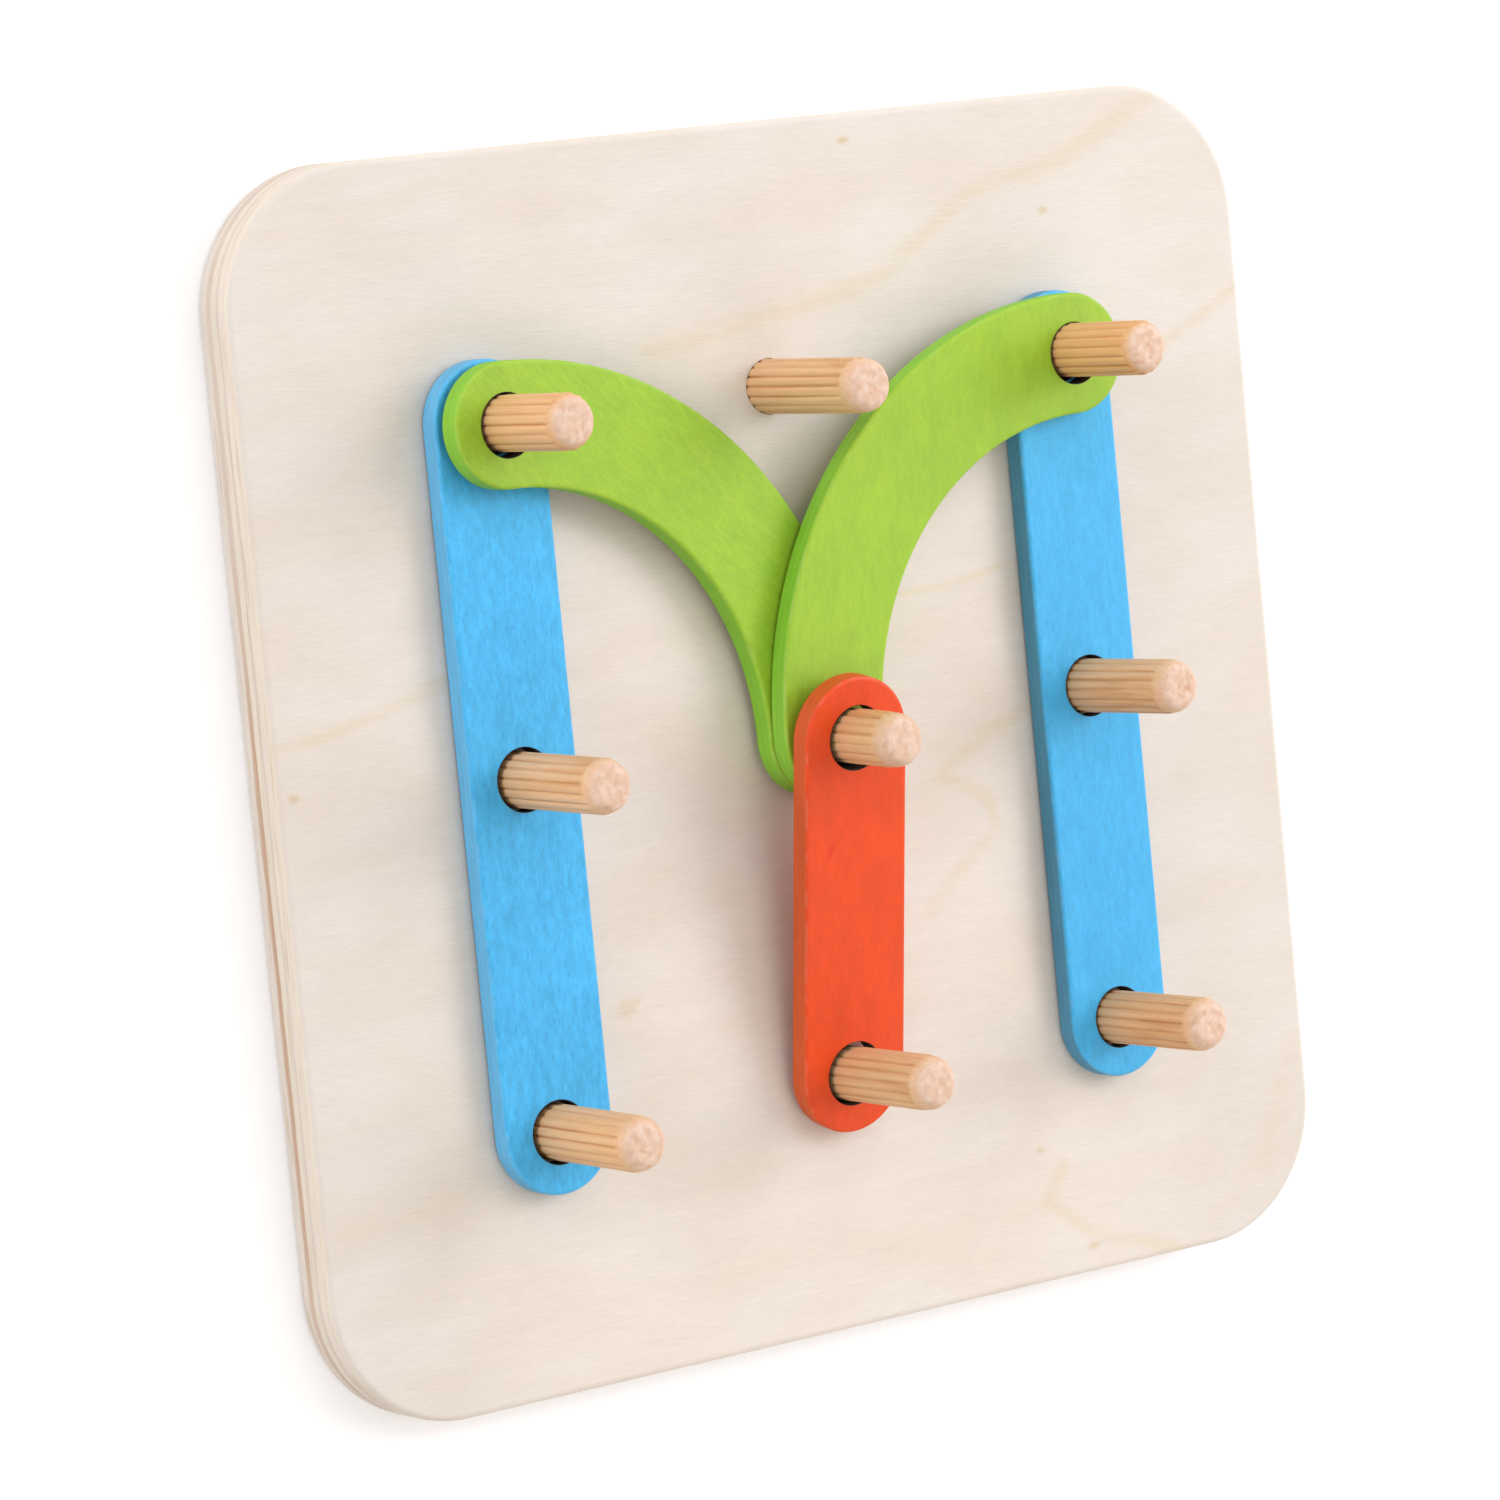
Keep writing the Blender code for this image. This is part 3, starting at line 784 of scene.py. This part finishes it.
def fluted_dowel(number, bare, height):
    """A peg on its foot: round lobes, valleys that run out below the smooth tip, and a softly broken end."""
    count = FLUTES * FLUTE_SIDES
    angles = [2 * math.pi * k / count for k in range(count)]
    shell = bmesh.new()
    rings = []

    def add_ring(radii, heights):
        rings.append([shell.verts.new((radius * math.cos(angle), radius * math.sin(angle), z))
                      for angle, radius, z in zip(angles, radii, heights)])

    def fluted(k, z):
        """Radius at side k and height z: least in the valleys on both sides of a lobe."""
        flute, side = divmod(k, FLUTE_SIDES)
        across = abs(2 * (side / FLUTE_SIDES) - 1)
        end = height - (bare + 0.5 * noise.noise(Vector((flute * 3.1, number * 7.7, 0)))) * MM
        fade = min(1.0, max(0.0, (end - z) / FLUTE_FADE))
        fade = fade * fade * (3 - 2 * fade)
        keen = 0.84 + 0.55 * noise.noise(Vector((flute * 2.3, number * 5.1, 4)))
        depth = FLUTE_DEPTH * keen * across ** 3
        return fade * (PEG_RADIUS - depth) + (1 - fade) * (PEG_RADIUS - BARE_SHRINK)

    shaft = int((height - LAST_STRETCH * MM) / (SHAFT_STEP * MM))
    levels = [SHAFT_STEP * MM * k for k in range(shaft)]
    levels += [height - (LAST_STRETCH - LAST_STEP * k) * MM for k in range(LAST_RINGS)]
    for z in levels:
        add_ring([fluted(k, z) for k in range(count)], [z] * count)
    for drop, limit in CHAMFER:
        z = height - drop * MM
        radii = []
        for k, angle in enumerate(angles):
            rough = noise.noise(Vector((math.cos(angle) * 3, math.sin(angle) * 3, drop * 2 + number * 9)))
            radii.append(min(limit, fluted(k, z) / MM) * MM + rough * 0.06 * MM)
        add_ring(radii, [z] * count)
    for reach in END_RADII:
        heights = []
        for angle in angles:
            spot = Vector((math.cos(angle) * reach * 2, math.sin(angle) * reach * 2, number * 9))
            heights.append(height - 0.02 * MM - 0.04 * MM * (noise.noise(spot) + 0.5))
        add_ring([reach * MM] * count, heights)
    for lower, upper in zip(rings, rings[1:]):
        for here in range(count):
            after = (here + 1) % count
            shell.faces.new((lower[here], lower[after], upper[after], upper[here]))
    shell.faces.new(list(reversed(rings[0])))
    shell.faces.new(rings[-1])
    return shell


def stamp(mesh, name, value):
    """Give the whole mesh one number, which its material reads by name."""
    attribute = mesh.attributes.new(name, "FLOAT", "POINT")
    attribute.data.foreach_set("value", [float(value)] * len(mesh.vertices))


def make_peg(place, number, material):
    node = "peg_" + place
    low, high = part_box(node)
    centre = (low + high) / 2
    height = high.z - low.z
    bare = BARE_TIPS.get(place, USUAL_BARE_TIP)
    shell = fluted_dowel(number, bare, height)
    turn = Matrix.Rotation(number * PEG_TURN, 4, "Z")
    lean = turn.inverted() @ Vector((*LEANS.get(place, (0.0, 0.0)), 0.0)) * MM
    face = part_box("board")[1].z - low.z
    for point in shell.verts:
        point.co += lean * max(0.0, (point.co.z - face) / (height - face))
    mesh = bpy.data.meshes.new(node)
    shell.to_mesh(mesh)
    shell.free()
    mesh.shade_smooth()
    mesh.set_sharp_from_angle(angle=PEG_SHARP_ANGLE)
    stamp(mesh, "own", number)
    stamp(mesh, "bare", bare)
    stamp(mesh, "gold", GOLDEN.get(place, USUAL_GOLD))
    matrix = Matrix.Translation((centre.x, centre.y, low.z)) @ turn
    put(node + "_fluted", mesh, [material], matrix, "peg_board", node)


def make_link(node, body, looks, kind, drilled, side=1):
    """A bar or an arc with holes for its pegs, in the place and slope of its CAD node.

    side is 1 for an arc whose lower end lies to the right and -1 for one whose lower end lies to the left.
    """
    axes, low, high = own_frame(node)
    half = LINK_WIDTH / 2
    if kind == "arc":
        first = Vector((low.x + half if side > 0 else high.x - half, high.y - half, 0))
        outline = arc_outline(LINK_WIDTH, PITCH, side)
        holes = [(0, 0), (side * PITCH, -PITCH)]
    else:
        length = PITCH * round((high.y - low.y - LINK_WIDTH) / PITCH)
        first = Vector(((low.x + high.x) / 2, high.y - half, 0))
        outline = bar_outline(LINK_WIDTH, length)
        holes = [(0, -PITCH * k) for k in range(round(length / PITCH) + 1)]
    first.z = (low.z + high.z) / 2
    thick = high.z - low.z
    radius = LEANING_HOLE_RADIUS if node == "red_bar" else LINK_HOLE_RADIUS
    mesh = plate(node + "_wood", outline, [(x, y, radius, None) for x, y in holes], -thick / 2, thick / 2,
                 LINK_RIM, LINK_HOLE_MOUTH, LINK_SPACING, LINK_LAYER)
    matrix = axes.to_4x4()
    matrix.translation = axes @ first
    stain = stained_wood(node + "_stain", thick=thick / MM, **looks)
    put(node + "_wood", mesh, [stain, stain, drilled], matrix, body, node)


make_board()
peg_height = (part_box("peg_centre")[1].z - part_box("peg_centre")[0].z) / MM
dowel = dowel_wood(peg_height)
for number, place in enumerate(PLACES):
    make_peg(place, number, dowel)
drilled = hole_wood("drilled_wood", SCORCHED_AND_SHADED)
blue_left = dict(tone=BLUE, grain_turn=90, seed=20, mottle=0.150, side_tone=(0.11, 0.40, 0.66))
# painted shade: the right bar's sides get a much darker tone than the left bar's, standing for the shade on
# them
blue_right = dict(tone=BLUE, grain_turn=90, seed=40, mottle=0.100, side_tone=(0.070, 0.27, 0.43),
                  light_end=(0, 50, (1.12, 1.04, 1.02)))
green_left = dict(tone=GREEN, grain_turn=-45, seed=60, mottle=0.085, side_tone=GREEN_SIDE)
green_right = dict(tone=GREEN, grain_turn=80, seed=80, mottle=0.066, side_tone=GREEN_SIDE)
red = dict(tone=RED, grain_turn=90, seed=100, mottle=0.052, side_tone=(0.58, 0.085, 0.014),
           marks=((-4.5, -16, 2.0, 0.7, 70, (0.93, 0.55, 1.3)), (0.6, -31, 0.4, 0.4, 0, (1.05, 1.5, 1.9))))
make_link("blue_bar_left", "blue_left", blue_left, "bar", drilled)
make_link("blue_bar_right", "blue_right", blue_right, "bar", drilled)
make_link("green_arc_left", "green_left", green_left, "arc", drilled, 1)
make_link("green_arc_right", "green_right", green_right, "arc", drilled, -1)
make_link("red_bar", "red", red, "bar", drilled)


# ---------------------------------------------------------------- floor, light and camera


FLOOR_REACH = 3.0  # metres from the middle to each side
FLOOR_DROP = 0.2 * MM  # below the board's back, so that the two don't lie in one plane
LIGHT_DISTANCE = 1.6  # metres from the origin


def make_floor():
    mesh = bpy.data.meshes.new("floor")
    corners = [(x * FLOOR_REACH, y * FLOOR_REACH, 0) for x, y in ((-1, -1), (1, -1), (1, 1), (-1, 1))]
    mesh.from_pydata(corners, [], [(0, 1, 2, 3)])
    mesh.materials.append(paper_floor())
    floor = bpy.data.objects.new("floor", mesh)
    floor.location.z = cad_low.z - FLOOR_DROP
    bpy.context.scene.collection.objects.link(floor)


def soft_box(name, turn, rise, size, strength, color):
    """Area light; strength is roughly what it gives a surface at the origin, in watts per square metre."""
    light = bpy.data.lights.new(name, "AREA")
    light.shape = "RECTANGLE"
    light.size, light.size_y = size
    light.energy = math.pi * LIGHT_DISTANCE ** 2 * strength
    light.color = color
    lamp = bpy.data.objects.new(name, light)
    around = math.radians(turn)
    up = math.radians(rise)
    way = Vector((math.cos(around) * math.cos(up), math.sin(around) * math.cos(up), math.sin(up)))
    lamp.location = way * LIGHT_DISTANCE
    lamp.rotation_euler = way.to_track_quat("Z", "Y").to_euler()
    bpy.context.scene.collection.objects.link(lamp)


def make_world(strength, color):
    """Even light from all round."""
    world = bpy.data.worlds.new("studio")
    world.use_nodes = True
    background = world.node_tree.nodes["Background"]
    background.inputs["Color"].default_value = (*color, 1.0)
    background.inputs["Strength"].default_value = strength
    bpy.context.scene.world = world


def make_camera():
    """The photograph's viewpoint: above the board and to its left."""
    camera = bpy.data.cameras.new("camera")
    camera.lens = 147.5
    camera.sensor_width = 36
    camera.clip_start = 0.05
    camera.clip_end = 20
    holder = bpy.data.objects.new("camera", camera)
    holder.location = (-0.5060, 0.0905, 0.7332)
    holder.rotation_euler = [math.radians(angle) for angle in (-2.183, -34.799, -6.676)]
    bpy.context.scene.collection.objects.link(holder)
    bpy.context.scene.camera = holder


make_floor()
# Soft boxes: name, direction from +X towards +Y and height in degrees, size in metres, irradiance, colour.
for name, turn, rise, size, strength, color in (
    ("key", 26, 42, (0.80, 0.80), 1.16, (0.97, 0.98, 1.05)),
    ("right", 2, 34, (0.90, 0.70), 0.78, (1.03, 0.97, 1.00)),
    ("right_low", 30, 9, (0.90, 0.50), 0.36, (0.95, 0.95, 1.10)),
    ("top", 88, 60, (0.90, 0.90), 0.57, (0.95, 1.01, 1.04)),
    ("left_low", 150, 9, (1.00, 0.50), 1.50, (0.99, 0.98, 1.03)),
    ("below", 288, 42, (1.00, 0.80), 0.37, (1.16, 1.00, 0.84)),
):
    soft_box(name, turn, rise, size, strength, color)
make_world(0.67, (1.03, 1.0, 0.955))
make_camera()
bpy.context.scene.view_settings.view_transform = "Standard"
